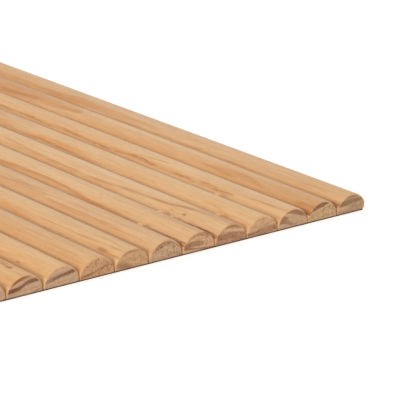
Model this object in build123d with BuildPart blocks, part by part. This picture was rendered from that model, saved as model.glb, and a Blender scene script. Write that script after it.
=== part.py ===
from build123d import *
import os

os.makedirs("parts", exist_ok=True)

# Tambour panel: near half-round pine slats glued side by side on one sheet of cloth.
# It lies flat, cloth down. X runs along the slats, Y across them and Z up, in millimetres.
# The origin is on the cloth's underside, below the middle of the panel.

# Driving dimensions
PANEL_LENGTH = 48 * IN
SLAT_COUNT = 32
SLAT_PITCH = 0.75 * IN
SLAT_GAP = 0.3
SLAT_HEIGHT = 9.0
SIDE_HEIGHT = 2.2
END_EASE = 0.8
CLOTH_THICKNESS = 0.5

# Worked out from them
SLAT_WIDTH = SLAT_PITCH - SLAT_GAP
PANEL_WIDTH = SLAT_COUNT * SLAT_PITCH - SLAT_GAP
SLAT_BASE = CLOTH_THICKNESS


def make_slat(middle):
    """A slat whose middle is at Y = middle: flat foot, short upright sides and a round crown."""
    near, far = middle - SLAT_WIDTH / 2, middle + SLAT_WIDTH / 2
    shoulder, top = SLAT_BASE + SIDE_HEIGHT, SLAT_BASE + SLAT_HEIGHT
    with BuildPart() as slat:
        with BuildSketch(Plane.YZ.offset(-PANEL_LENGTH / 2)):
            with BuildLine():
                foot = Line((near, SLAT_BASE), (far, SLAT_BASE))
                side = Line(foot @ 1, (far, shoulder))
                crown = ThreePointArc(side @ 1, (middle, top), (near, shoulder))
                Line(crown @ 1, foot @ 0)
            make_face()
        extrude(amount=PANEL_LENGTH)
        # The sawn ends are sanded, which takes off their edge over the crown and down both sides.
        sawn_edges = slat.edges().filter_by(GeomType.CIRCLE) + slat.edges().filter_by(Axis.Z)
        chamfer(sawn_edges, length=END_EASE)
    return slat.part


for number in range(1, SLAT_COUNT + 1):
    slat_middle = (number - (SLAT_COUNT + 1) / 2) * SLAT_PITCH
    slat_part = make_slat(slat_middle)
    slat_part.label = f"slat_{number:02d}"
    export_step(slat_part, f"parts/slat_{number:02d}.step")

# The cloth is cut flush with the slats all round and lies flat between the floor and their feet.
with BuildPart() as canvas_backing:
    with BuildSketch(Plane.XY):
        Rectangle(PANEL_LENGTH, PANEL_WIDTH)
    extrude(amount=CLOTH_THICKNESS)

canvas_backing.part.label = "canvas_backing"
export_step(canvas_backing.part, "parts/canvas_backing.step")
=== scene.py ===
import math
import random
from functools import reduce

import bmesh
import bpy
from mathutils import Matrix, Vector


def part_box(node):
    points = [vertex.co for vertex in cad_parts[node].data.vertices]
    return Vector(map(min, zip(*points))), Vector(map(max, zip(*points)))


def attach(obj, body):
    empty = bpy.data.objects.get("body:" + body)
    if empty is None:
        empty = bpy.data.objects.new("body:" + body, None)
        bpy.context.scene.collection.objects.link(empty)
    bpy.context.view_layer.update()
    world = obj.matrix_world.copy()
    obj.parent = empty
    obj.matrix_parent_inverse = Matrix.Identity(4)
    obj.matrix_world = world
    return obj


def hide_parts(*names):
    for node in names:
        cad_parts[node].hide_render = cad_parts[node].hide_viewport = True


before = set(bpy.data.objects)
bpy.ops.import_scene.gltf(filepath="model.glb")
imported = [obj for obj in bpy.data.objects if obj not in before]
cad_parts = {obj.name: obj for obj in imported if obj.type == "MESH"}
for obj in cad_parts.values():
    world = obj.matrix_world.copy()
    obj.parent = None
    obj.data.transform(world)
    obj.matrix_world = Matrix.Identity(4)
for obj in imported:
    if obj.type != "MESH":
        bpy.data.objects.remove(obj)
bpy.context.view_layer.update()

# Tambour panel: raw pine slats, round side up, glued side by side on one dark cloth.
# Everything is in metres in the frame of the model: X along the slats, Y across them, Z up.
# The grain is in millimetres from each slat's sawn end at low X, and in degrees round its crown,
# with 90 at the top and less at the side of high Y.

MM = 0.001
SLATS = sorted(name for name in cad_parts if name.startswith("slat_"))
CLOTH = "canvas_backing"

# The slat's moulding, from the frame, and the height of its upright sides
SLAT_LOW, SLAT_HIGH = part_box(SLATS[0])
SLAT_WIDTH = SLAT_HIGH[1] - SLAT_LOW[1]
SLAT_HEIGHT = SLAT_HIGH[2] - SLAT_LOW[2]
SLAT_LENGTH = SLAT_HIGH[0] - SLAT_LOW[0]
SLAT_FOOT = SLAT_LOW[2]
NEAR_END = SLAT_LOW[0]
FAR_END = SLAT_HIGH[0]
SIDE_HEIGHT = 2.2 * MM

# The crown is an arc over the two shoulders. Its centre lies below the foot.
CROWN_RISE = SLAT_HEIGHT - SIDE_HEIGHT
CROWN_RADIUS = ((SLAT_WIDTH / 2) ** 2 + CROWN_RISE**2) / (2 * CROWN_RISE)
CROWN_CENTRE = SLAT_HEIGHT - CROWN_RADIUS

# Rounded ends, wandering sides and crown, and the sanded outer sides of the two outermost slats
ARRIS_RADIUS = 0.9 * MM
ARRIS_SHARE_ON_SIDES = 0.5
SIDE_WANDER = 0.05 * MM
CROWN_SAG = 0.04 * MM
OUTER_TRIM = 0.7 * MM
OUTER_FOOT_RADIUS = 1.8 * MM

# How finely the slat's mesh follows its shape
CROWN_STEPS = 30
FOOT_STEPS = 4
ARRIS_STEPS = 5
STATIONS = 30
CRUMB_FINENESS = 3

# The cloth's mesh and cut edges
CLOTH_EDGE_WAVE = 0.15 * MM
CLOTH_SIDE_INSET = 1.9 * MM
CLOTH_COLUMNS = 240
CLOTH_ROWS = 120

# Waves in the slats and in the cloth's cut edges, in radians per metre
SLAT_WAVE_RATES = (3, 7)
CLOTH_WAVE_RATES = (60, 900)
GRAIN_SEED, SHAPE_SEED, CLOTH_SEED = 4100, 700, 77

# Camera: a long lens, low over the corner of the panel.
CAMERA_LENS = 181.1
CAMERA_CLIP = (0.01, 200)
CAMERA_DISTANCE = 0.9584
CAMERA_AZIMUTH = math.radians(-40.22)
CAMERA_ELEVATION = math.radians(18.29)
CAMERA_ROLL = math.radians(-1.66)
AIM_ALONG, AIM_ACROSS, AIM_UP = 0.0427, 0.0687, 0.0055
CAMERA_AIM = Vector((NEAR_END + AIM_ALONG, SLAT_LOW[1] + AIM_ACROSS, SLAT_FOOT + AIM_UP))

# Floor and light
FLOOR_SIZE = 60.0
FLOOR_PAINT = (0.85, 0.85, 0.85, 1)
FLOOR_GLOW = 0.35
WHITE = (1, 1, 1, 1)
SKY_LIGHT = (0.82, 0.81, 0.775, 1)
KEY_LAMP_PLACE = (-1.9, 3.15, 1.36)
KEY_LAMP_SIZE = 0.5
KEY_LAMP_POWER = 47


def srgb(red, green, blue):
    """A screen colour, from 0 to 255, as the linear values that a node holds."""
    def linear(part):
        part /= 255
        return part / 12.92 if part <= 0.04045 else ((part + 0.055) / 1.055) ** 2.4

    return (linear(red), linear(green), linear(blue), 1.0)


# Colours of the wood's faces
TAN = srgb(223, 182, 134)
WARM = srgb(217, 170, 120)
ROSY = srgb(218, 176, 131)
GOLD = srgb(225, 182, 130)
DUSTY = srgb(216, 178, 136)
HONEY = srgb(220, 175, 123)
AMBER = srgb(218, 163, 104)
FIBRE = srgb(190, 136, 84)
PALE_FIBRE = srgb(234, 200, 158)
RESIN = srgb(150, 96, 55)
KNOT_HEART = srgb(140, 74, 42)
STREAK_TONES = {
    "orange": srgb(212, 149, 84),
    "mauve": srgb(198, 151, 116),
    "brown": srgb(184, 124, 72),
    "dark": srgb(156, 98, 56),
    "pale": srgb(232, 200, 160),
}
CRUMB_TONE = srgb(222, 178, 126)

# Colours of its sawn ends
END_TONES = {
    "grey": srgb(206, 168, 133),
    "olive": srgb(206, 170, 125),
    "dull": srgb(188, 152, 114),
    "tan": srgb(216, 171, 129),
    "pink": srgb(210, 163, 118),
    "amber": srgb(210, 158, 113),
    "red": srgb(200, 153, 114),
}
END_BAND_TONES = {
    "pale": srgb(224, 186, 146),
    "brown": srgb(144, 94, 60),
    "drab": srgb(134, 98, 67),
    "umber": srgb(136, 90, 66),
    "rust": srgb(158, 92, 50),
    "dark": srgb(126, 74, 44),
}
END_RING = srgb(158, 106, 74)
END_PORE = srgb(108, 68, 40)
END_BRIGHT = srgb(232, 196, 158)
# Glue and painted shade along the foot of each sawn end, over the cloth
GLUE_AND_FOOT_SHADE = srgb(72, 48, 34)

# Noise in the wood: the size of its features along, across and up the slat, its detail and roughness
WOOD_NOISE = {
    "slow": ((150, 12, 12), 1, 0.5),
    "feather": ((22, 0.9, 0.9), 3, 0.5),
    "cloudy": ((260, 9, 9), 2, 0.5),
    "strand": ((55, 1.3, 1.3), 2, 0.5),
    "blotch": ((30, 2.2, 2.2), 3, 0.6),
    "fleck": ((5, 0.8, 0.8), 3, 0.65),
    "fibre": ((16, 0.32, 0.32), 3, 0.6),
    "broken": ((13, 1.1, 1.1), 2, 0.5),
    "dashed": ((4, 0.6, 0.6), 3, 0.5),
    "resin": ((7, 0.3, 0.3), 1, 0.5),
    "patchy": ((40, 2.4, 2.0), 3, 0.6),
    "rays": ((2, 0.4, 5), 2, 0.5),
    "ragged": ((9, 0.9, 0.9), 3, 0.65),
    "pores": ((0.5, 0.28, 0.28), 3, 0.7),
    "pits": ((0.8, 0.8, 0.7), 2, 0.5),
}
# Moves the noise from slat to slat, so that no two are alike
NOISE_STEP = (3.7, 1.9, 2.3)

# Stains: as a noise goes from the first value to the second, a tone comes in, up to a depth.
FACE_STAINS = (
    ("strand", 0.48, 0.75, 0.15, FIBRE),
    ("blotch", 0.48, 0.75, 0.27, FIBRE),
    ("blotch", 0.48, 0.25, 0.3, PALE_FIBRE),
    ("fleck", 0.48, 0.75, 0.24, FIBRE),
    ("fleck", 0.48, 0.25, 0.22, PALE_FIBRE),
    ("fibre", 0.48, 0.75, 0.25, FIBRE),
    ("fibre", 0.48, 0.25, 0.1, PALE_FIBRE),
)
RESIN_STAIN = ("resin", 0.66, 0.78, 0.45, RESIN)
END_PATCHES = (
    ("patchy", 0.5, 0.72, 0.28, END_RING),
    ("patchy", 0.5, 0.28, 0.3, END_BRIGHT),
)
END_RAYS = ("rays", 0.5, 0.75, 0.22, END_RING)
END_PORES = (
    ("pores", 0.52, 0.75, 0.5, END_PORE),
    ("pores", 0.45, 0.25, 0.35, END_BRIGHT),
)

# Growth rings are this far apart, and each slat has one of a few spacings.
RING_SPACING = 2.3
RING_SPACING_STEP = 0.35
RING_SPACINGS = 5


class Graph:
    """Makes the nodes of one material or world."""

    def __init__(self, owner):
        owner.use_nodes = True
        self.tree = owner.node_tree
        self.tree.nodes.clear()

    def node(self, kind, inputs=(), **settings):
        """A node whose inputs are set to plain values or linked to other nodes' outputs."""
        made = self.tree.nodes.new(kind)
        for key, value in settings.items():
            setattr(made, key, value)
        for key, value in dict(inputs).items():
            if isinstance(value, bpy.types.NodeSocket):
                self.tree.links.new(value, made.inputs[key])
            else:
                made.inputs[key].default_value = value
        return made

    def math(self, operation, *values):
        return self.node("ShaderNodeMath", enumerate(values), operation=operation).outputs[0]

    def add(self, *values):
        return reduce(lambda total, value: self.math("ADD", total, value), values)

    def times(self, *values):
        return reduce(lambda product, value: self.math("MULTIPLY", product, value), values)

    def slope(self, value, start, end, low=0.0, high=1.0):
        """Goes smoothly from low to high while value goes from start to end."""
        inputs = {"Value": value, "From Min": start, "From Max": end, "To Min": low, "To Max": high}
        return self.node("ShaderNodeMapRange", inputs, interpolation_type="SMOOTHSTEP").outputs[0]

    def mix(self, factor, first, second):
        """A colour that goes from the first to the second as factor goes from 0 to 1."""
        # The node's sockets for colours are its inputs 6 and 7 and its output 2.
        inputs = {0: factor, 6: first, 7: second}
        return self.node("ShaderNodeMix", inputs, data_type="RGBA").outputs[2]

    def scaled(self, vector, lengths, shift):
        """The place in units of the given lengths, moved by a shift."""
        divided = self.node("ShaderNodeVectorMath", {0: vector, 1: lengths}, operation="DIVIDE")
        moved = self.node("ShaderNodeVectorMath", {0: divided.outputs[0], 1: shift}, operation="ADD")
        return moved.outputs[0]

    def distance(self, vector, lengths, middle):
        """How far a place is from a middle, in units of the given lengths."""
        shift = tuple(-part / length for part, length in zip(middle, lengths))
        away = self.scaled(vector, lengths, shift)
        return self.node("ShaderNodeVectorMath", {0: away}, operation="LENGTH").outputs["Value"]

    def noise(self, vector, lengths, shift, detail, roughness):
        """Noise with features of the given lengths, moved by a shift."""
        place = self.scaled(vector, lengths, shift)
        inputs = {"Vector": place, "Scale": 1.0, "Detail": detail, "Roughness": roughness}
        return self.node("ShaderNodeTexNoise", inputs).outputs["Fac"]

    def curve(self, value, points):
        """A curve through points (place, height), whose places run from low to high."""
        places = [place for place, _ in points]
        heights = [height for _, height in points]
        first, last = places[0], places[-1]
        low, high = min(heights), max(heights)
        if low == high:
            return low
        inputs = {"Value": value, "From Min": first, "From Max": last}
        along = self.node("ShaderNodeMapRange", inputs).outputs[0]
        made = self.node("ShaderNodeFloatCurve", {"Value": along})
        line = made.mapping.curves[0]
        while len(line.points) < len(points):
            line.points.new(0.5, 0.5)
        for point, (place, height) in zip(line.points, points):
            point.location = ((place - first) / (last - first), (height - low) / (high - low))
            point.handle_type = "AUTO_CLAMPED"
        made.mapping.update()
        inputs = {"Value": made.outputs[0], "To Min": low, "To Max": high}
        return self.node("ShaderNodeMapRange", inputs, clamp=False).outputs[0]

    def surface(self, colour, roughness, relief, depth, strength, fixed):
        """Ends the material with a surface of that colour, roughness and fine relief."""
        bump = self.node("ShaderNodeBump", {"Height": relief, "Distance": depth, "Strength": strength})
        inputs = {"Base Color": colour, "Roughness": roughness, "Normal": bump.outputs[0], **fixed}
        surface = self.node("ShaderNodeBsdfPrincipled", inputs)
        self.node("ShaderNodeOutputMaterial", {"Surface": surface.outputs[0]})


# Grain of each slat


def zone(tone, soft, *points):
    """A band of colour between two edges. Each point is (place, lower edge, upper edge, depth of colour).

    On a face the places are mm from the sawn end and the edges degrees round the crown. On a sawn end
    they are mm from its middle and over its foot. The edges fade over the length soft, or a pair.
    """
    below, above = soft if isinstance(soft, tuple) else (soft, soft)
    return {"tone": tone, "below": below, "above": above, "points": sorted(points)}


def wash(tone, soft, low, high, *points):
    """A broad soft zone with straight edges on a face. Each point is (mm from the sawn end, depth)."""
    return zone(tone, soft, *((place, low, high, depth) for place, depth in points))


def streak(tone, width, *points):
    """A narrow band on a face, in mm. Each point is (mm from the sawn end, degrees, depth of colour)."""
    half = math.degrees(width * MM / CROWN_RADIUS) / 2
    edges = [(place, angle - half, angle + half, depth) for place, angle, depth in points]
    return zone(tone, (half * 0.9 + 0.8, half * 0.4 + 0.6), *edges)


def knot(along, angle, length, width, depth):
    """A small knot: mm from the sawn end, degrees round the crown, and its size in mm."""
    return {"along": along, "angle": angle, "length": length, "width": width, "depth": depth}


def speck(y, z, size, depth):
    """A dark spot on the sawn end: mm from the slat's middle, mm over its foot, and its size in mm."""
    return {"spot": (y, z), "size": size, "depth": depth}


def grain(pith, tint, end_tone, pores, warmth=0.3, rings=0.1, streaks=(), ends=(), knots=(), specks=()):
    """One slat's wood: where its tree's middle is (mm, in the slat's section) and what shows on it."""
    return {
        "pith": pith, "tint": tint, "end_tone": end_tone, "pores": pores, "warmth": warmth,
        "rings": rings, "streaks": list(streaks), "ends": ends, "knots": list(knots), "specks": specks,
    }


# The eleven slats nearest the camera, by number, as far as this from their sawn ends
HAND_GRAIN_REACH = 310
GRAIN = {}
GRAIN[1] = grain(pith=(-3, -47), tint=DUSTY, end_tone="dull", pores=0.2, rings=0.08, streaks=[
    wash("orange", 6, 44, 80, (180, 0), (230, 0.15), (290, 0.3), (350, 0)),
    zone("orange", 5, (150, 44, 56, 0), (190, 46, 66, 0.35), (205, 44, 66, 0.6), (225, 40, 58, 0.7),
         (245, 40, 52, 0.45), (275, 42, 56, 0.4), (310, 44, 60, 0)),
    streak("brown", 0.6, (0, 41, 0.5), (55, 41, 0.3), (80, 41, 0.6), (125, 42, 0.6), (200, 42, 0)),
    zone("orange", 4, (0, 38, 44, 0.3), (120, 38, 45, 0.3), (180, 38, 44, 0)),
    # Painted shade in the groove by the sawn end
    zone("dark", 2, (0, 26, 37, 0.75), (8, 26, 37, 0.6), (12, 26, 36, 0)),
    streak("brown", 0.5, (12, 64, 0), (24, 62, 0.3), (34, 58, 0.2), (48, 56, 0)),
    streak("orange", 0.8, (90, 70, 0), (125, 62, 0.3), (165, 58, 0.3), (190, 56, 0)),
    zone("brown", (6, 9), (140, 54, 60, 0), (155, 54, 62, 0.2), (180, 48, 68, 0.2), (200, 46, 72, 0.35),
         (215, 44, 66, 0.4), (235, 42, 58, 0.45), (260, 42, 56, 0.35), (310, 42, 60, 0.2), (350, 42, 60, 0)),
], ends=[
    zone("drab", (0.9, 0.5), (-7, 5.0, 6.0, 0.3), (-5, 4.8, 6.1, 0.6), (-2, 4.8, 6.3, 0.7),
         (1, 4.4, 6.3, 0.65), (4, 3.9, 6.0, 0.75), (6.5, 3.7, 5.8, 0.85), (8, 3.7, 5.0, 0.7)),
    zone("drab", (1.0, 0.4), (-4, 7.2, 8.2, 0.2), (0, 7.4, 8.8, 0.4), (3, 7.0, 8.4, 0.3),
         (6, 6.0, 7.2, 0.1)),
    zone("pale", 0.6, (0, 2.2, 2.8, 0), (3, 2.0, 3.2, 0.3), (7, 1.6, 3.4, 0.5), (9, 1.6, 3.0, 0.3)),
])
GRAIN[2] = grain(pith=(-10, -42), tint=WARM, end_tone="olive", pores=0.5, warmth=0.4, streaks=[
    wash("pale", 8, 84, 118, (0, 0.35), (60, 0.3), (100, 0.5), (150, 0.55), (185, 0.2), (210, 0)),
    wash("orange", 8, 84, 118, (190, 0), (225, 0.3), (300, 0.4), (350, 0)),
    zone("brown", 4, (0, 34, 58, 0.7), (7, 34, 56, 0.7), (14, 38, 50, 0)),
    # Painted shade in the groove by the sawn end
    zone("dark", 2, (0, 26, 37, 1), (8, 26, 37, 0.8), (13, 26, 36, 0)),
    zone("orange", (5, 3), (28, 50, 55, 0), (42, 51, 66, 0.5), (55, 55, 74, 0.6), (70, 56, 70, 0.5),
         (84, 56, 64, 0.3), (96, 60, 64, 0)),
    zone("brown", (7, 4), (36, 50, 56, 0), (45, 58, 66, 0.4), (54, 64, 73, 0.45), (63, 66, 73, 0.3),
         (76, 64, 68, 0)),
    zone("brown", (5, 3), (54, 46, 50, 0), (64, 48, 57, 0.45), (74, 52, 61, 0.5), (84, 54, 60, 0.25),
         (94, 54, 58, 0)),
    zone("orange", (3, 5), (14, 38, 44, 0.5), (75, 38, 46, 0.3), (110, 38, 46, 0.4), (150, 40, 48, 0.5),
         (168, 40, 48, 0.4), (190, 40, 44, 0)),
    zone("orange", 3, (186, 74, 80, 0), (191, 70, 84, 0.6), (200, 64, 86, 0.5), (215, 60, 86, 0.45),
         (235, 56, 84, 0.55), (255, 46, 80, 0.5), (300, 40, 70, 0.3), (350, 44, 60, 0)),
    streak("brown", 2.2, (187, 76, 0), (193, 73, 0.5), (205, 65, 0.4), (218, 61, 0.3), (230, 63, 0.6),
           (242, 58, 0.7), (256, 52, 0.7), (270, 46, 0.4), (300, 42, 0)),
    zone("brown", (8, 12), (200, 56, 84, 0), (225, 50, 92, 0.25), (250, 46, 100, 0.35), (300, 44, 100, 0.3),
         (350, 44, 90, 0)),
], ends=[
    zone("brown", (0.25, 0.3), (-7, 8.0, 9.0, 0), (-4.5, 7.5, 9.5, 0.7), (-1, 6.6, 9.5, 1.0),
         (2, 5.8, 9.5, 0.95), (5, 5.1, 9.5, 0.95), (7.5, 4.3, 9.5, 0.9)),
], knots=[knot(7, 72, 4, 0.8, 0.3)], specks=[
    speck(-4, 5.4, 1.0, 0.7), speck(7.4, 3.1, 0.7, 0.5), speck(-7, 2.8, 0.6, 0.3),
    speck(-3.8, 1.4, 0.7, 0.3),
])
GRAIN[3] = grain(pith=(1, -45), tint=TAN, end_tone="grey", pores=0.35, streaks=[
    wash("pale", 8, 84, 118, (0, 0.45), (60, 0.3), (110, 0.15), (150, 0)),
    wash("pale", 8, 46, 80, (0, 0.3), (50, 0.25), (110, 0.15), (180, 0)),
    wash("orange", 8, 84, 118, (170, 0), (230, 0.3), (300, 0.3), (340, 0)),
    streak("dark", 0.9, (35, 52, 0), (42, 51, 0.7), (50, 54, 0.5), (58, 56, 0.6), (63, 52, 0.15),
           (71, 51, 0.6), (78, 50, 0.6), (85, 51, 0.1), (96, 50, 0.5), (104, 53, 0.8), (113, 56, 0.8),
           (119, 52, 0.3), (130, 50, 0.4), (141, 47, 0.6), (151, 48, 0.2), (165, 47, 0.5), (176, 50, 0.5),
           (183, 48, 0.2), (195, 47, 0.5), (206, 50, 0.6), (213, 47, 0.2), (226, 47, 0.5), (250, 45, 0)),
    streak("dark", 0.7, (37, 48, 0), (46, 47, 0.6), (56, 48, 0.3), (66, 46, 0.3), (76, 48, 0.5),
           (90, 46, 0.2), (101, 47, 0.5), (112, 50, 0.6), (126, 46, 0.4), (146, 44, 0.5), (166, 50, 0.4),
           (186, 44, 0.4), (206, 46, 0.5), (235, 43, 0)),
    streak("brown", 0.6, (0, 67, 0.2), (9, 66, 0.6), (18, 65, 0.7), (28, 62, 0.2), (60, 58, 0.2),
           (75, 57, 0)),
    streak("brown", 0.6, (88, 75, 0), (94, 72, 0.5), (104, 68, 0.5), (112, 62, 0.2), (118, 60, 0)),
    zone("orange", 4, (0, 40, 58, 0.2), (50, 44, 58, 0.35), (100, 42, 59, 0.45), (160, 40, 54, 0.4),
         (235, 40, 52, 0.35), (262, 40, 50, 0)),
], ends=[
    zone("brown", 0.4, (-9, 3.2, 4.4, 0.3), (-7, 4.1, 5.6, 0.7), (-4, 5.1, 7.2, 0.8), (0, 6.4, 8.8, 0.7),
         (3.5, 7.2, 8.8, 0.7), (5.5, 7.4, 8.4, 0)),
    zone("brown", (0.6, 0.7), (-4, 0.0, 0.6, 0), (-1, 0.4, 1.4, 0.4), (2, 1.2, 2.8, 0.5), (4, 2.2, 5.2, 0.6),
         (6, 2.6, 5.9, 0.75), (8.5, 2.6, 3.8, 0.8)),
])
GRAIN[4] = grain(pith=(4, 44), tint=TAN, end_tone="tan", pores=0.25, streaks=[
    zone("orange", (4, 5), (68, 42, 50, 0), (85, 44, 56, 0.3), (110, 42, 54, 0.3), (130, 42, 58, 0.5),
         (150, 42, 60, 0.85), (170, 42, 56, 0.8), (186, 42, 50, 0.5), (215, 40, 60, 0.35), (260, 40, 58, 0)),
    streak("brown", 1.1, (100, 41, 0), (125, 41, 0.5), (150, 43, 0.85), (165, 44, 0.9), (180, 41, 0.7),
           (205, 41, 0.3), (225, 41, 0)),
    zone("brown", 8, (172, 48, 80, 0), (200, 44, 106, 0.25), (240, 42, 110, 0.35), (300, 40, 90, 0.2),
         (340, 40, 80, 0)),
    streak("orange", 0.9, (12, 40, 0), (20, 48, 0.5), (29, 56, 0.4), (38, 62, 0)),
    zone("orange", (3, 4), (0, 38, 44, 0.3), (30, 38, 46, 0.3), (90, 38, 44, 0)),
], ends=[
    zone("brown", (0.8, 0.9), (-9, 0.9, 3.2, 0.6), (-5, 0.7, 3.4, 0.55), (0, 0.2, 3.2, 0.5),
         (4, 0.4, 2.4, 0.45), (9, 0.6, 1.7, 0.4)),
    zone("dark", (0.2, 0.3), (0.5, 2.0, 2.3, 0), (2.5, 1.7, 2.2, 0.7), (5, 1.3, 1.7, 0.8),
         (9, 1.0, 1.5, 0.9)),
], specks=[speck(-7.5, 1.8, 1.4, 0.5)])
GRAIN[5] = grain(pith=(2, -30), tint=TAN, end_tone="red", pores=0.45, streaks=[
    wash("pale", 8, 84, 118, (36, 0), (56, 0.4), (95, 0.4), (140, 0.3), (190, 0.2), (230, 0)),
    zone("brown", (5, 2), (6, 84, 92, 0.2), (17, 83, 91, 0.45), (25, 78, 88, 0.75), (31, 73, 82, 0.85),
         (38, 67, 74, 0.9), (48, 62, 68, 0.8), (60, 59, 65, 0.65), (72, 56, 62, 0.65), (82, 51, 58, 0.65),
         (92, 48, 54, 0.65), (110, 47, 53, 0.55), (125, 48, 54, 0.55), (140, 50, 56, 0.5),
         (155, 54, 60, 0.4), (168, 57, 65, 0.35), (185, 62, 70, 0)),
    zone("orange", (5, 6), (72, 40, 48, 0), (90, 38, 46, 0.45), (130, 38, 46, 0.45), (165, 40, 52, 0.3),
         (200, 40, 50, 0)),
    zone("mauve", (3, 4), (0, 86, 120, 0.7), (12, 86, 120, 0.65), (20, 86, 112, 0.5), (28, 90, 104, 0)),
    # Painted shade in the groove by the sawn end
    zone("dark", 2, (0, 26, 37, 0.9), (14, 26, 37, 0.8), (24, 26, 36, 0)),
], ends=[
    zone("brown", (0.4, 0.3), (-7, 5.8, 7.0, 0.2), (-4, 7.0, 8.4, 0.6), (0, 7.4, 8.8, 0.7),
         (4, 6.8, 8.0, 0.4), (7, 5.0, 6.4, 0.2)),
    zone("pale", 0.4, (-9, 3.8, 4.6, 0.6), (-6, 4.2, 5.4, 0.7), (-2, 5.0, 6.2, 0.7), (3, 5.8, 6.8, 0.5),
         (6, 6.0, 6.6, 0)),
    zone("brown", (0.7, 0.8), (-9, 1.8, 3.4, 0.5), (-6, 2.2, 4.0, 0.35), (-2, 2.4, 4.6, 0.45),
         (1, 2.2, 4.4, 0.6), (4, 2.2, 4.2, 0.6), (7, 2.4, 4.4, 0.75), (9, 2.4, 4.0, 0.6)),
    zone("drab", 0.5, (-9, 0.0, 1.4, 0.45), (-3, 0.0, 1.8, 0.4), (3, 0.0, 1.6, 0.3), (9, 0.0, 1.6, 0.35)),
], knots=[
    knot(26.7, 53, 2.2, 1.2, 0.7), knot(36, 52, 2.4, 0.7, 0.35),
])
GRAIN[6] = grain(pith=(-3, -26), tint=TAN, end_tone="tan", pores=0.45, warmth=0.4, streaks=[
    wash("orange", 6, 86, 118, (0, 0.3), (30, 0.35), (60, 0)),
    zone("brown", (5, 2), (34, 34, 38, 0), (44, 35, 40, 0.5), (58, 37, 42, 0.7), (70, 38.5, 43.5, 0.75),
         (80, 41, 46.5, 0.75), (89, 45, 51, 0.75), (99, 48.5, 54.5, 0.75), (110, 49, 55, 0.7),
         (122, 48, 54, 0.7), (136, 45, 52, 0.7), (147, 40, 48, 0.75), (165, 36, 44, 0.4), (190, 34, 40, 0)),
    zone("orange", 4, (38, 36, 43, 0), (60, 36, 43, 0.5), (80, 38, 44, 0.5), (100, 40, 50, 0.4),
         (130, 38, 48, 0.4), (160, 36, 46, 0)),
    zone("mauve", 4, (0, 84, 102, 0.4), (20, 82, 102, 0.55), (35, 80, 100, 0.3), (46, 84, 96, 0)),
    # Painted shade in the grooves on both sides, by the sawn end
    zone("dark", (3, 4), (0, 107, 130, 1), (14, 107, 130, 0.9), (20, 109, 130, 0.5), (26, 110, 130, 0)),
    zone("dark", 2, (0, 26, 37, 0.7), (18, 26, 37, 0.5), (28, 26, 36, 0)),
], ends=[
    zone("brown", (0.5, 0.4), (-6, 5.6, 7.0, 0.3), (-4, 6.2, 7.6, 0.5), (0, 7.0, 8.4, 0.45),
         (4, 6.3, 7.5, 0.4), (7, 5.0, 6.0, 0.2)),
    zone("brown", (0.5, 0.6), (-3.5, 2.6, 3.8, 0), (-1.5, 2.3, 4.3, 0.55), (3, 2.5, 4.7, 0.65),
         (6, 2.4, 4.6, 0.75), (8, 2.2, 3.8, 0.8)),
    zone("dark", (0.2, 0.5), (-9, 0.0, 0.3, 0.6), (-3, 0.2, 0.8, 0.7), (2, 0.9, 1.4, 0.6),
         (5, 1.2, 2.0, 0.7), (9, 1.6, 2.2, 0.4)),
], specks=[
    speck(-4.5, 2.2, 0.9, 0.5), speck(-4.4, 5.6, 1.0, 0.4),
])
GRAIN[7] = grain(pith=(9, -34), tint=ROSY, end_tone="grey", pores=0.65, warmth=0.2, rings=0.15, streaks=[
    zone("orange", 3, (17, 44, 50, 0), (25, 43, 52, 0.5), (33, 43, 50, 0.4), (42, 44, 48, 0)),
    streak("brown", 0.6, (14, 78, 0), (30, 76, 0.35), (45, 74, 0.3), (60, 72, 0.2), (80, 68, 0.35),
           (92, 66, 0)),
    streak("brown", 0.6, (26, 60, 0), (40, 58, 0.4), (62, 56, 0.3), (90, 53, 0.2), (112, 50, 0)),
    streak("brown", 0.8, (85, 76, 0), (94, 72, 0.4), (104, 68, 0.5), (114, 64, 0.4), (130, 60, 0)),
    zone("brown", 4, (76, 54, 60, 0), (92, 58, 68, 0.35), (105, 58, 71, 0.4), (118, 52, 66, 0.35),
         (142, 50, 60, 0)),
    zone("brown", 3, (46, 50, 54, 0), (56, 50, 57, 0.3), (72, 50, 57, 0.3), (84, 48, 54, 0)),
    streak("brown", 0.5, (96, 73, 0), (108, 76, 0.3), (120, 72, 0.4), (140, 70, 0)),
    streak("brown", 0.5, (4, 50, 0), (18, 54, 0.3), (40, 50, 0.25), (62, 47, 0.3), (84, 46, 0)),
    zone("orange", (4, 6), (0, 38, 46, 0.2), (60, 38, 50, 0.3), (100, 40, 56, 0.35), (200, 40, 60, 0)),
], ends=[
    zone("brown", (0.5, 0.4), (-8, 4.2, 5.4, 0.3), (-4, 6.4, 8.2, 0.45), (0, 6.6, 8.8, 0.5),
         (3, 5.6, 7.6, 0.6), (6, 4.6, 6.2, 0.5), (8.5, 3.4, 4.4, 0.4)),
    zone("brown", (0.8, 1.0), (-9, 0.0, 2.2, 0.3), (-3, 0.2, 2.6, 0.25), (0, 0.4, 2.0, 0.15),
         (2, 0.4, 1.5, 0)),
], specks=[
    speck(2.8, 5.8, 1.1, 0.6), speck(-1.2, 7.3, 0.9, 0.5), speck(2.0, 2.8, 0.9, 0.4),
    speck(-4.6, 4.9, 1.2, 0.5), speck(-6.5, 5.0, 0.8, 0.4), speck(-0.5, 4.1, 0.9, 0.4),
    speck(-1.4, 1.4, 1.0, 0.4), speck(4.5, 5.3, 0.8, 0.4),
])
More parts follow.
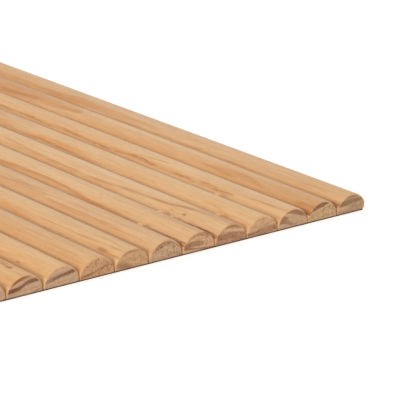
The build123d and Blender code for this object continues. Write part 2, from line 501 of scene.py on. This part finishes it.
GRAIN[8] = grain(pith=(2, -22), tint=TAN, end_tone="pink", pores=0.25, rings=0.12, streaks=[
    streak("brown", 0.6, (0, 66, 0.2), (6, 64, 0.6), (12, 62, 0.2), (20, 60, 0.4), (34, 58, 0.5),
           (44, 58, 0.2), (52, 56, 0.4), (64, 56, 0.3), (85, 54, 0.2), (105, 52, 0)),
    zone("orange", (3, 5), (0, 38, 44, 0.3), (20, 38, 46, 0.35), (50, 38, 48, 0.35), (70, 38, 50, 0.5),
         (82, 38, 50, 0.7), (95, 38, 48, 0.5), (125, 38, 46, 0)),
    streak("brown", 0.5, (0, 73, 0.3), (8, 76, 0.2), (16, 80, 0)),
    # Painted shade in the groove by the sawn end
    zone("brown", 4, (0, 106, 130, 0.7), (20, 106, 130, 0.5), (34, 108, 130, 0)),
    streak("brown", 0.6, (0, 42, 0.4), (5, 42, 0.6), (11, 43, 0.5), (20, 43, 0.1), (28, 42, 0)),
], ends=[
    zone("brown", (0.5, 0.7), (-1, 0.0, 0.3, 0), (1, 0.0, 1.2, 0.5), (4, 0.5, 2.4, 0.65), (7, 1.0, 2.8, 0.6),
         (9, 1.4, 2.8, 0.4)),
    zone("brown", 0.3, (-6, 0.2, 0.5, 0), (-4, 0.6, 1.0, 0.3), (0, 1.4, 1.8, 0.3), (4, 2.9, 3.3, 0.3),
         (7, 3.6, 4.0, 0)),
    zone("brown", (0.6, 0.4), (-3, 7.0, 8.4, 0.1), (0, 7.2, 8.8, 0.4), (4, 6.6, 7.8, 0.4), (7, 4.8, 5.8, 0)),
], knots=[knot(12.5, 45, 8, 2.6, 0.42)], specks=[
    speck(-4.2, 4.7, 0.9, 0.6), speck(-6, 3.9, 0.8, 0.4),
])
GRAIN[9] = grain(pith=(-6, -60), tint=WARM, end_tone="amber", pores=0.55, warmth=0.25, streaks=[
    zone("orange", (5, 8), (0, 38, 50, 0.12), (30, 40, 52, 0.15), (62, 38, 52, 0.2), (110, 40, 54, 0)),
    streak("brown", 0.7, (28, 76, 0), (38, 75, 0.4), (46, 74, 0.3), (56, 74, 0)),
    streak("brown", 0.5, (2, 60, 0), (14, 62, 0.3), (30, 60, 0.2), (48, 58, 0.3), (70, 56, 0)),
    zone("brown", (2, 3), (35, 106, 110, 0), (39, 106, 115, 1), (43, 107, 115, 0.9), (48, 108, 114, 0)),
    zone("mauve", 5, (60, 66, 80, 0), (90, 68, 80, 0.4), (130, 68, 78, 0.4), (180, 66, 74, 0)),
], ends=[
    zone("brown", 0.4, (-7, 4.2, 4.9, 0.3), (-4, 3.4, 4.3, 0.6), (-1, 2.5, 3.4, 0.55), (2, 1.9, 2.7, 0.5),
         (5, 1.0, 1.9, 0.75), (9, 0.6, 1.4, 0.6)),
], specks=[
    speck(-0.4, 7.5, 1.0, 0.6), speck(1.0, 6.7, 0.8, 0.5), speck(5.4, 5.3, 0.8, 0.6),
    speck(-7.6, 3.8, 0.7, 0.7), speck(-5.4, 3.0, 0.8, 0.7), speck(-6, 1.6, 0.7, 0.5),
    speck(-1.1, 1.2, 0.9, 0.4), speck(4.8, 1.5, 0.8, 0.5),
])
GRAIN[10] = grain(pith=(-38, -290), tint=GOLD, end_tone="grey", pores=0.3, warmth=0.4, rings=0.08, streaks=[
    streak("orange", 1.0, (18, 56, 0), (26, 54, 0.45), (35, 50, 0.4), (46, 44, 0)),
    zone("orange", (3, 4), (0, 38, 44, 0.4), (16, 38, 44, 0.4), (30, 38, 46, 0.3), (60, 38, 44, 0)),
], ends=[
    zone("umber", (0.5, 0.4), (-8, 5.0, 5.8, 0.5), (-6, 4.8, 6.0, 1.0), (-3, 4.2, 5.6, 0.9),
         (0, 3.9, 5.3, 0.85), (3, 3.2, 4.8, 0.85), (6, 2.6, 4.2, 0.6), (9, 2.2, 3.6, 0.45)),
    zone("dark", (0.3, 0.4), (-7.5, 5.2, 5.8, 0), (-5.5, 5.0, 5.8, 0.7), (-3.5, 4.8, 5.3, 0)),
], knots=[knot(22, 41, 3.4, 1.0, 0.4)])
GRAIN[11] = grain(pith=(-2, -29), tint=HONEY, end_tone="grey", pores=0.25, warmth=0.45, rings=0.12, streaks=[
    # Two small lumps shown in paint only: orange tops, with painted shadow along their lower edges
    zone("orange", (3, 4), (9.6, 86, 96, 0), (11, 84, 98, 1.2), (14.4, 86, 100, 1.2), (16, 90, 98, 0)),
    zone("dark", (2, 3), (9.6, 85, 89, 0), (10.6, 83, 92, 0.9), (12.6, 83, 91, 0.9), (14.2, 83, 87, 0)),
    zone("orange", (3, 4), (15, 90, 99, 0), (16.2, 89, 103, 1.3), (19.6, 91, 105, 1.3), (21.4, 94, 102, 0)),
    zone("brown", 3, (14.6, 88, 93, 0), (15.8, 87, 96, 1), (18, 88, 95, 1), (19.8, 88, 92, 0)),
    zone("orange", (5, 6), (0, 46, 60, 0.4), (8, 44, 58, 0.45), (40, 50, 62, 0.3), (80, 50, 60, 0.3),
         (120, 50, 58, 0)),
], ends=[
    zone("rust", 0.3, (-3.5, 8.0, 8.6, 0), (-2, 7.6, 8.6, 0.7), (1, 7.1, 8.2, 0.9), (4, 6.0, 7.2, 1.0),
         (6, 5.2, 6.3, 0.9), (7.5, 4.8, 5.6, 0.4)),
    zone("dark", 0.4, (-8, 4.6, 6.0, 0.3), (-5.5, 4.9, 6.4, 0.9), (-2, 4.4, 6.0, 0.85), (0, 4.0, 5.4, 0.85),
         (3, 2.6, 4.1, 0.95), (6, 2.1, 3.7, 1.0), (9, 2.0, 3.4, 1.0)),
    zone("brown", 0.3, (-9, 0.9, 1.6, 0.5), (-6, 0.4, 1.0, 0.5), (-4, 0.0, 0.5, 0)),
])

# Crumbs on the crowns, by slat: mm from the sawn end, degrees, and length, width and height in mm
CRUMBS = {
    4: [(38.5, 117, 3.6, 1.4, 0.8)],
    5: [(13.6, 111, 3.2, 2.2, 0.4), (15.3, 118, 3.0, 1.4, 0.95)],
    6: [(25.1, 117, 2.2, 1.2, 0.6), (34.3, 118, 4.4, 1.6, 0.95)],
    7: [(24.8, 118, 4.2, 1.6, 0.95)],
}
CRUMB_UNEVENNESS = 0.12

# What the streaks that aren't listed are drawn from
STREAK_LENGTHS = (150, 600)
STREAK_ANGLES = (35, 145)
STREAK_WIDTHS = {"orange": (8, 16), "mauve": (2.5, 8), "brown": (2.5, 8)}
STREAK_STEP = 45


def uneven(dice, place, middle, thick, depth):
    """A point of a drawn band, which swells and fades."""
    half = thick / 2 * dice.uniform(0.6, 1.3)
    return (place, middle - half, middle + half, depth * dice.uniform(0.6, 1))


def random_streaks(dice, first, last):
    """Streaks that wander along the slat between two distances from its sawn end."""
    found = []
    for _ in range(dice.randint(3, 5)):
        start = dice.uniform(first, last - STREAK_LENGTHS[0])
        length = min(dice.uniform(*STREAK_LENGTHS), last - start)
        angle = dice.uniform(*STREAK_ANGLES)
        lean = dice.uniform(-0.08, 0.08)
        depth = dice.uniform(0.3, 0.95)
        tone = dice.choice(("orange", "orange", "mauve", "brown", "brown"))
        wide = dice.uniform(*STREAK_WIDTHS[tone])
        points = []
        steps = max(4, round(length / STREAK_STEP))
        for step in range(steps + 1):
            part = step / steps
            middle = min(160, max(20, angle + lean * length * part + dice.uniform(-5, 5)))
            shade = depth * min(1, 4 * part, 4 * (1 - part))
            points.append(uneven(dice, start + length * part, middle, wide, shade))
        # One edge is softer than the other, as the two sides of a ring are.
        sides = (wide * 0.4 + 1, wide * 0.15 + 1)
        found.append(zone(tone, dice.choice((sides, sides[::-1])), *points))
    return found


def random_bands(dice):
    """Rings that cross the sawn end."""
    found = []
    tilt = dice.uniform(-0.35, 0.35)
    bow = dice.uniform(-0.03, 0.01)
    for _ in range(dice.randint(1, 3)):
        height = dice.uniform(1, 8.5)
        thick = dice.uniform(0.6, 2.2)
        depth = dice.uniform(0.4, 1)
        points = []
        for y in range(-9, 10, 3):
            middle = height + tilt * y + bow * y * y + dice.uniform(-0.2, 0.2)
            points.append(uneven(dice, y, middle, thick, depth))
        found.append(zone(dice.choice(("brown", "brown", "dark")), (0.5, 0.3), *points))
    return found


def random_specks(dice):
    """A few dark spots on the sawn end, or none."""
    return [
        speck(dice.uniform(-8, 8), dice.uniform(0.5, 7), dice.uniform(0.6, 1.2), dice.uniform(0.3, 0.8))
        for _ in range(dice.choice((0, 0, 1, 3, 6)))
    ]


def random_knots(dice, first, last):
    """Up to two knots between two distances from the sawn end."""
    found = []
    while dice.random() < 0.3 and len(found) < 2:
        size = dice.uniform(1.2, 2.6)
        found.append(knot(dice.uniform(first, last), dice.uniform(40, 140), size * 2.2, size, 0.9))
    return found


def random_grain(dice):
    """The wood of a slat that isn't listed, without its streaks and knots."""
    away = dice.uniform(8, 70)
    side = dice.uniform(-0.6, 0.6)
    pith = (away * math.sin(side), -away * math.cos(side))
    if dice.random() < 0.25:
        pith = (pith[0], SLAT_HEIGHT / MM - pith[1])
    return grain(
        pith=pith, tint=dice.choice((TAN, TAN, WARM, ROSY, GOLD)), specks=random_specks(dice),
        warmth=dice.uniform(0.2, 0.5), rings=dice.uniform(0.08, 0.2), ends=random_bands(dice),
        end_tone=dice.choice(("grey", "tan", "pink", "amber", "red")), pores=dice.uniform(0.2, 0.5),
    )


def grain_of(number):
    """A slat's wood: listed near the camera, and drawn elsewhere."""
    dice = random.Random(GRAIN_SEED + number)
    by_hand = number in GRAIN
    wood = GRAIN[number] if by_hand else random_grain(dice)
    first = HAND_GRAIN_REACH if by_hand else 0
    last = SLAT_LENGTH / MM
    wood["streaks"] += random_streaks(dice, first, last)
    wood["knots"] += random_knots(dice, first, last - 20)
    return wood


def crown_spot(angle):
    """The point of the crown at an angle, in mm from the slat's middle and over its foot."""
    turn = math.radians(angle)
    radius = CROWN_RADIUS / MM
    return (radius * math.cos(turn), radius * math.sin(turn) + CROWN_CENTRE / MM)


class Pine(Graph):
    """Raw pine for one slat: the long grain of its faces, and the rings and pores of its sawn ends."""

    def __init__(self, material, number, middle):
        super().__init__(material)
        self.number = number
        self.wood = grain_of(number)
        coordinates = self.node("ShaderNodeTexCoord").outputs
        start = (-NEAR_END / MM, -middle / MM, -SLAT_FOOT / MM)
        inputs = {"Vector": coordinates["Object"], "Location": start, "Scale": (1 / MM,) * 3}
        self.spot = self.node("ShaderNodeMapping", inputs).outputs[0]
        self.normal = coordinates["Normal"]
        self.along, self.across, self.up = self.node("ShaderNodeSeparateXYZ", {0: self.spot}).outputs
        self.section = self.node("ShaderNodeCombineXYZ", {1: self.across, 2: self.up}).outputs[0]
        shift = tuple(number * step for step in NOISE_STEP)
        self.layers = {
            name: self.noise(self.spot, lengths, shift, detail, roughness)
            for name, (lengths, detail, roughness) in WOOD_NOISE.items()
        }
        turn = self.math("ARCTAN2", self.math("SUBTRACT", self.up, CROWN_CENTRE / MM), self.across)
        self.degrees = self.add(
            self.times(turn, 180 / math.pi), self.wander("slow", 3.0), self.wander("feather", 6.0)
        )
        self.knots = []
        self.late = self.late_wood()
        self.end_bands = self.bands_on_end()

    def wander(self, layer, reach):
        """A layer's noise as a distance to either side."""
        return self.times(self.add(self.layers[layer], -0.5), reach)

    def stain(self, colour, layer, start, end, depth, tone):
        """Brings in a tone, up to a depth, where a layer's noise goes from start to end."""
        return self.mix(self.slope(self.layers[layer], start, end, 0.0, depth), colour, tone)

    def from_line(self, y, z, unit=1.0):
        """The distance from the line along the slat at y and z mm, in mm or the unit given."""
        return self.distance(self.section, (unit,) * 3, (0.0, y, z))

    def band(self, place, height, band):
        """How strongly a band shows. Its two edges and its depth follow curves along the place."""
        low, high, depth = (
            self.curve(place, [(point[0], point[part]) for point in band["points"]]) for part in (1, 2, 3)
        )
        below, above = band["below"], band["above"]
        risen = self.slope(height, self.add(low, -below), self.add(low, below * 0.3))
        fallen = self.slope(height, self.add(high, above), self.add(high, -above * 0.3))
        return self.times(risen, fallen, depth)

    def late_wood(self):
        """How strongly the darker half of each ring shows. The rings pass round the knots."""
        radius = self.from_line(*self.wood["pith"])
        radius = self.add(radius, self.wander("slow", 2.4), self.wander("feather", 0.9))
        for one in self.wood["knots"]:
            side, height = crown_spot(one["angle"])
            lengths = (one["length"] / 2, one["width"] / 2, one["width"] / 2)
            distance = self.distance(self.spot, lengths, (one["along"], side, height))
            rough = self.add(distance, self.wander("feather", 0.9))
            self.knots.append((self.slope(rough, 1.3, 0.35), self.slope(rough, 2.8, 0.9), one["depth"]))
            radius = self.add(radius, self.times(self.slope(distance, 3.2, 0.6), one["width"] * 0.3))
        spacing = RING_SPACING + self.number % RING_SPACINGS * RING_SPACING_STEP
        ring = self.math("FRACT", self.math("DIVIDE", radius, spacing))
        return self.times(self.slope(ring, 0.35, 0.92), self.slope(ring, 1.0, 0.93))

    def bands_on_end(self):
        """The bands of the sawn end: the name of each one's tone and how strongly it shows."""
        height = self.add(self.up, self.wander("ragged", 1.2))
        return [(one["tone"], self.band(self.across, height, one)) for one in self.wood["ends"]]

    def face_colour(self):
        """The long grain, from slow changes down to single fibres, with its rings, streaks and knots, and on
        a few slats painted shade in the grooves and under two small lumps.
        """
        wood = self.wood
        colour = self.stain(wood["tint"], "cloudy", 0.32, 0.68, wood["warmth"], AMBER)
        for stain in FACE_STAINS:
            colour = self.stain(colour, *stain)
        colour = self.mix(self.times(self.late, wood["rings"]), colour, STREAK_TONES["orange"])

        # Streaks are broken along the grain, and the dark ones are dashed.
        broken = self.slope(self.layers["broken"], 0.3, 0.58, 0.5, 1.0)
        dashed = self.slope(self.layers["dashed"], 0.38, 0.52, 0.25, 1.15)
        for one in wood["streaks"]:
            breaks = dashed if one["tone"] == "dark" else broken
            shade = self.times(self.band(self.along, self.degrees, one), breaks)
            colour = self.mix(shade, colour, STREAK_TONES[one["tone"]])

        # The darker bands of the sawn end run a little way into the faces.
        fading = self.slope(self.along, 90, 5, 0.0, 0.35)
        for tone, shade in self.end_bands:
            if tone != "pale":
                colour = self.mix(self.times(shade, fading), colour, STREAK_TONES["brown"])

        colour = self.stain(colour, *RESIN_STAIN)
        for heart, halo, depth in self.knots:
            colour = self.mix(self.times(halo, 0.45 * depth), colour, STREAK_TONES["orange"])
            colour = self.mix(self.times(heart, depth), colour, KNOT_HEART)
        return colour

    def end_colour(self):
        """The sawn end: patches, faint rings and rays, bands, pores and specks, and glue with painted shade
        at its foot.
        """
        wood = self.wood
        colour = END_TONES[wood["end_tone"]]
        for stain in END_PATCHES:
            colour = self.stain(colour, *stain)
        colour = self.mix(self.times(self.late, 0.1 + wood["rings"]), colour, END_RING)
        colour = self.stain(colour, *END_RAYS)
        for tone, shade in self.end_bands:
            colour = self.mix(shade, colour, END_BAND_TONES[tone])
        for stain in END_PORES:
            colour = self.stain(colour, *stain)
        colour = self.stain(colour, "pits", 0.56, 0.72, wood["pores"], END_PORE)
        colour = self.stain(colour, "pits", 0.44, 0.3, wood["pores"] * 0.7, END_BRIGHT)
        for one in wood["specks"]:
            spread = self.from_line(*one["spot"], unit=one["size"] / 2)
            inside = self.slope(self.add(spread, self.wander("ragged", 1.0)), 1.5, 0.5, 0.0, one["depth"])
            colour = self.mix(inside, colour, END_PORE)

        # Glue and painted shade darken the wood right over the cloth.
        over_cloth = self.add(self.up, self.wander("ragged", 0.3))
        return self.mix(self.slope(over_cloth, 0.5, 0.1, 0.0, 0.35), colour, GLUE_AND_FOOT_SHADE)

    def build(self):
        """Puts the faces and the sawn ends together, with a fine relief of fibres and pores."""
        facing = self.math("ABSOLUTE", self.node("ShaderNodeSeparateXYZ", {0: self.normal}).outputs[0])
        sawn = self.slope(facing, 0.93, 0.985)
        colour = self.mix(sawn, self.face_colour(), self.end_colour())
        if self.number in CRUMBS:
            # Only crumbs stand proud of the crown. They are paler than the wood.
            proud = self.math("SUBTRACT", self.from_line(0.0, CROWN_CENTRE / MM), CROWN_RADIUS / MM)
            colour = self.mix(self.slope(proud, 0.05, 0.25, 0.0, 0.85), colour, CRUMB_TONE)
        fibre = self.layers["fibre"]
        roughness = self.add(self.times(sawn, 0.25), self.slope(fibre, 0.3, 0.7, 0.40, 0.52))
        relief = self.add(self.times(fibre, 0.6), self.times(self.late, 0.25))
        relief = self.add(relief, self.times(sawn, self.layers["pores"], 1.5))
        self.surface(colour, roughness, relief, 0.12 * MM, 0.5, {"IOR": 1.4})


# Pieces


def put(name, data):
    """A new object with that data, in the scene."""
    made = bpy.data.objects.new(name, data)
    bpy.context.scene.collection.objects.link(made)
    return made


def make_piece(name, mesh, material):
    """Puts a finished mesh into the scene."""
    bmesh.ops.recalc_face_normals(mesh, faces=mesh.faces)
    data = bpy.data.meshes.new(name)
    mesh.to_mesh(data)
    mesh.free()
    data.materials.append(material)
    return put(name, data)


def wave(dice, rates):
    """A wave along a distance in metres."""
    start, rate = dice.uniform(0, 6.28), dice.uniform(*rates)
    return lambda place: math.sin(start + rate * place)


def quarter_circle(radius, steps):
    """Points of a rounded edge, by how far each lies in from the two planes that it joins."""
    turns = [math.pi / 2 * step / steps for step in range(steps + 1)]
    return [(radius * (1 - math.sin(turn)), radius * (1 - math.cos(turn))) for turn in turns]


def section(inset, outer):
    """The slat's outline seen from its end, from the foot at low Y round to the foot at high Y.

    The two outermost slats are sanded on their outer side, which is at low Y for outer -1 and at high Y
    for 1. Also gives which of the outline's edges belong to round surfaces.
    """
    half = SLAT_WIDTH / 2 - SIDE_WANDER - inset * ARRIS_SHARE_ON_SIDES
    sanded_half = half - (OUTER_TRIM if outer else 0)
    reach = CROWN_RADIUS - inset
    start = math.pi - math.atan2(math.sqrt(reach**2 - sanded_half**2), sanded_half)
    end = math.atan2(math.sqrt(reach**2 - half**2), half)
    foot = quarter_circle(OUTER_FOOT_RADIUS, FOOT_STEPS) if outer else [(0.0, 0.0)]
    outline = [(away - sanded_half, up) for away, up in foot]
    low_side = len(outline) - 1
    for step in range(CROWN_STEPS + 1):
        turn = start - (start - end) * step / CROWN_STEPS
        outline.append((reach * math.cos(turn), CROWN_CENTRE + reach * math.sin(turn)))
    outline.append((half, 0.0))
    high_side = len(outline) - 2
    smooth = {index for index in range(high_side) if index != low_side}
    if outer == 1:
        outline = [(-y, z) for y, z in reversed(outline)]
        smooth = {high_side - index for index in smooth}
    return outline, smooth


def stations():
    """Places along the slat, and how far its rounded ends draw the outline in there."""
    rounding = [(depth, inset) for inset, depth in quarter_circle(ARRIS_RADIUS, ARRIS_STEPS)]
    plain_length = SLAT_LENGTH - 2 * ARRIS_RADIUS
    steps = range(1, STATIONS)
    between = [(NEAR_END + ARRIS_RADIUS + plain_length * step / STATIONS, 0.0) for step in steps]
    near = [(NEAR_END + depth, inset) for depth, inset in rounding]
    far = [(FAR_END - depth, inset) for depth, inset in reversed(rounding)]
    return near + between + far


def add_crumb(mesh, middle, dice, along, angle, length, width, height):
    """A small uneven lump stuck to the crown."""
    side, level = crown_spot(angle)
    place = Vector((NEAR_END + along * MM, middle + side * MM, SLAT_FOOT + level * MM))
    lean = Matrix.Rotation(math.radians(angle - 90), 4, "X")
    size = Matrix.Diagonal((length / 2 * MM, width / 2 * MM, height * MM, 1))
    made = bmesh.ops.create_icosphere(mesh, subdivisions=CRUMB_FINENESS, radius=1)
    for vertex in made["verts"]:
        vertex.co *= 1 + dice.uniform(-CRUMB_UNEVENNESS, CRUMB_UNEVENNESS)
        for face in vertex.link_faces:
            face.smooth = True
    bmesh.ops.transform(mesh, matrix=Matrix.Translation(place) @ lean @ size, verts=made["verts"])


def make_slat(number, node):
    """One slat, whose sides and crown wander a little along its length."""
    low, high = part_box(node)
    middle = (low[1] + high[1]) / 2
    dice = random.Random(SHAPE_SEED + number)
    side_wave, sag_wave = wave(dice, SLAT_WAVE_RATES), wave(dice, SLAT_WAVE_RATES)
    outer = -1 if node == SLATS[0] else 1 if node == SLATS[-1] else 0
    mesh = bmesh.new()
    loops = []
    for place, inset in stations():
        side = SIDE_WANDER * side_wave(place)
        sag = CROWN_SAG * (1 + sag_wave(place))
        outline, smooth = section(inset, outer)
        loops.append([
            mesh.verts.new((place, middle + y + side, SLAT_FOOT + z - sag * z / SLAT_HEIGHT))
            for y, z in outline
        ])
    for near, far in zip(loops, loops[1:]):
        for index in range(len(near)):
            after = (index + 1) % len(near)
            face = mesh.faces.new((near[index], far[index], far[after], near[after]))
            face.smooth = index in smooth
    mesh.faces.new(loops[0])
    mesh.faces.new(reversed(loops[-1]))
    for crumb in CRUMBS.get(number, ()):
        add_crumb(mesh, middle, dice, *crumb)
    material = bpy.data.materials.new(f"raw_pine_{number:02d}")
    Pine(material, number, middle).build()
    piece = make_piece(f"pine_slat_{number:02d}", mesh, material)
    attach(piece, "root")
    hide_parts(node)


THREAD_SPACING = 0.9
# Painted shade on the threads' sides and painted light on their tops
THREAD_SHADED_SIDE = srgb(34, 23, 17)
THREAD_LIT_TOP = srgb(98, 70, 53)
THREAD_DYE = srgb(52, 37, 29)
THREAD_FUZZ = srgb(104, 80, 62)


def make_canvas():
    """Dark plain-woven canvas with uneven dye and fuzz, and painted light and shade on its weave: lighter
    thread tops and darker hollows.
    """
    material = bpy.data.materials.new("dark_canvas")
    g = Graph(material)
    coordinates = g.node("ShaderNodeTexCoord").outputs["Object"]
    spot = g.node("ShaderNodeMapping", {"Vector": coordinates, "Scale": (1 / MM,) * 3}).outputs[0]
    x, y, _ = g.node("ShaderNodeSeparateXYZ", {0: spot}).outputs
    wobble = g.times(g.noise(spot, (12, 12, 12), (0, 0, 0), 2, 0.5), 0.5)
    warp = g.math("SINE", g.times(g.add(x, wobble), math.pi / THREAD_SPACING))
    weft = g.math("SINE", g.times(g.add(y, wobble), math.pi / THREAD_SPACING))
    warp_over = g.slope(g.times(warp, weft), -0.25, 0.25)
    weft_over = g.math("SUBTRACT", 1.0, warp_over)
    height = g.add(
        g.times(g.math("ABSOLUTE", warp), warp_over), g.times(g.math("ABSOLUTE", weft), weft_over)
    )
    fuzz = g.noise(spot, (0.25, 0.25, 0.25), (5, 5, 5), 2, 0.5)
    dye = g.noise(spot, (40, 40, 40), (9, 2, 4), 3, 0.5)
    # Painted light and shade: thread tops lighter and the hollows between threads darker, by the weave's
    # height
    colour = g.mix(g.slope(height, 0.1, 0.9), THREAD_SHADED_SIDE, THREAD_LIT_TOP)
    colour = g.mix(g.slope(dye, 0.3, 0.7, 0.0, 0.4), colour, THREAD_DYE)
    colour = g.mix(g.slope(fuzz, 0.5, 0.8, 0.0, 0.35), colour, THREAD_FUZZ)
    relief = g.add(height, g.times(fuzz, 0.4))
    g.surface(colour, 0.9, relief, 0.25 * MM, 0.9, {"Specular IOR Level": 0.3})
    return material


def make_cloth():
    """The cloth: a lower and an upper face, joined round the rim, with slightly wavy cut edges."""
    low, high = (Vector(corner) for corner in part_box(CLOTH))
    dice = random.Random(CLOTH_SEED)
    waves = [wave(dice, CLOTH_WAVE_RATES) for _ in range(8)]
    end_waves, side_waves = waves[:4], waves[4:]

    def set_in(place, group):
        """How far a cut edge lies in from its straight line at a place along it."""
        swing = sum(one(place) for one in group) / len(group)
        return CLOTH_EDGE_WAVE * (0.5 + 0.5 * swing)

    mesh = bmesh.new()
    bottom, top = [], []
    for level, rows in ((low.z, bottom), (high.z, top)):
        for row in range(CLOTH_ROWS + 1):
            y = low.y + (high.y - low.y) * row / CLOTH_ROWS
            columns = []
            for column in range(CLOTH_COLUMNS + 1):
                x = low.x + (high.x - low.x) * column / CLOTH_COLUMNS
                spot = Vector((x, y, level))
                if column in (0, CLOTH_COLUMNS):
                    spot.x += set_in(y, end_waves) * (1 if column == 0 else -1)
                if row in (0, CLOTH_ROWS):
                    spot.y += (CLOTH_SIDE_INSET + set_in(x, side_waves)) * (1 if row == 0 else -1)
                columns.append(mesh.verts.new(spot))
            rows.append(columns)
        for first, second in zip(rows, rows[1:]):
            for column in range(CLOTH_COLUMNS):
                mesh.faces.new((first[column], first[column + 1], second[column + 1], second[column]))
    turned = [list(zip(*rows)) for rows in (bottom, top)]
    for lower_rows, upper_rows in ((bottom, top), turned):
        for rim in (0, -1):
            lower, upper = lower_rows[rim], upper_rows[rim]
            for index in range(len(lower) - 1):
                mesh.faces.new((lower[index], lower[index + 1], upper[index + 1], upper[index]))
    piece = make_piece("canvas_sheet", mesh, make_canvas())
    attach(piece, "root")
    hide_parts(CLOTH)


# Floor, light and camera


def make_floor():
    """A white floor that glows a little to the camera, so that it looks as white as the sky."""
    bpy.ops.mesh.primitive_plane_add(size=FLOOR_SIZE)
    floor = bpy.context.object
    floor.name = "floor"
    material = bpy.data.materials.new("white_floor")
    g = Graph(material)
    paint = g.node("ShaderNodeBsdfDiffuse", {"Color": FLOOR_PAINT})
    seen = g.node("ShaderNodeLightPath").outputs["Is Camera Ray"]
    glow = g.node("ShaderNodeEmission", {"Color": WHITE, "Strength": g.times(seen, FLOOR_GLOW)})
    both = g.node("ShaderNodeAddShader", {0: paint.outputs[0], 1: glow.outputs[0]})
    g.node("ShaderNodeOutputMaterial", {"Surface": both.outputs[0]})
    floor.data.materials.append(material)
    return floor


def make_sky():
    """White all round for the camera and in gloss, and a dimmer, warmer light for all else."""
    world = bpy.data.worlds.new("white_room")
    bpy.context.scene.world = world
    g = Graph(world)
    rays = g.node("ShaderNodeLightPath").outputs
    seen = g.math("MAXIMUM", rays["Is Camera Ray"], rays["Is Glossy Ray"])
    seen = g.math("MAXIMUM", seen, rays["Is Transmission Ray"])
    sky = g.node("ShaderNodeBackground", {"Color": g.mix(seen, SKY_LIGHT, WHITE)})
    g.node("ShaderNodeOutputWorld", {"Surface": sky.outputs[0]})


def make_key_lamp():
    """A square lamp behind the camera's left, which shines at the middle of the panel."""
    data = bpy.data.lights.new("key_lamp", "AREA")
    data.shape = "SQUARE"
    data.size = KEY_LAMP_SIZE
    data.energy = KEY_LAMP_POWER
    lamp = put("key_lamp", data)
    lamp.location = KEY_LAMP_PLACE
    lamp.rotation_euler = (-Vector(KEY_LAMP_PLACE)).to_track_quat("-Z", "Y").to_euler()


def make_camera():
    """The camera, turned by its azimuth, elevation and roll."""
    turn = Matrix.Rotation(CAMERA_AZIMUTH - math.pi / 2, 4, "Z")
    turn @= Matrix.Rotation(math.pi / 2 - CAMERA_ELEVATION, 4, "X")
    turn @= Matrix.Rotation(-CAMERA_ROLL, 4, "Z")
    data = bpy.data.cameras.new("camera")
    data.lens = CAMERA_LENS
    data.clip_start, data.clip_end = CAMERA_CLIP
    camera = put("camera", data)
    camera.matrix_world = Matrix.Translation(CAMERA_AIM) @ turn @ Matrix.Translation((0, 0, CAMERA_DISTANCE))
    bpy.context.scene.camera = camera


make_camera()
make_sky()
make_key_lamp()
floor = make_floor()
bpy.context.scene.view_settings.view_transform = "Standard"

for number, node in enumerate(SLATS, start=1):
    make_slat(number, node)
make_cloth()
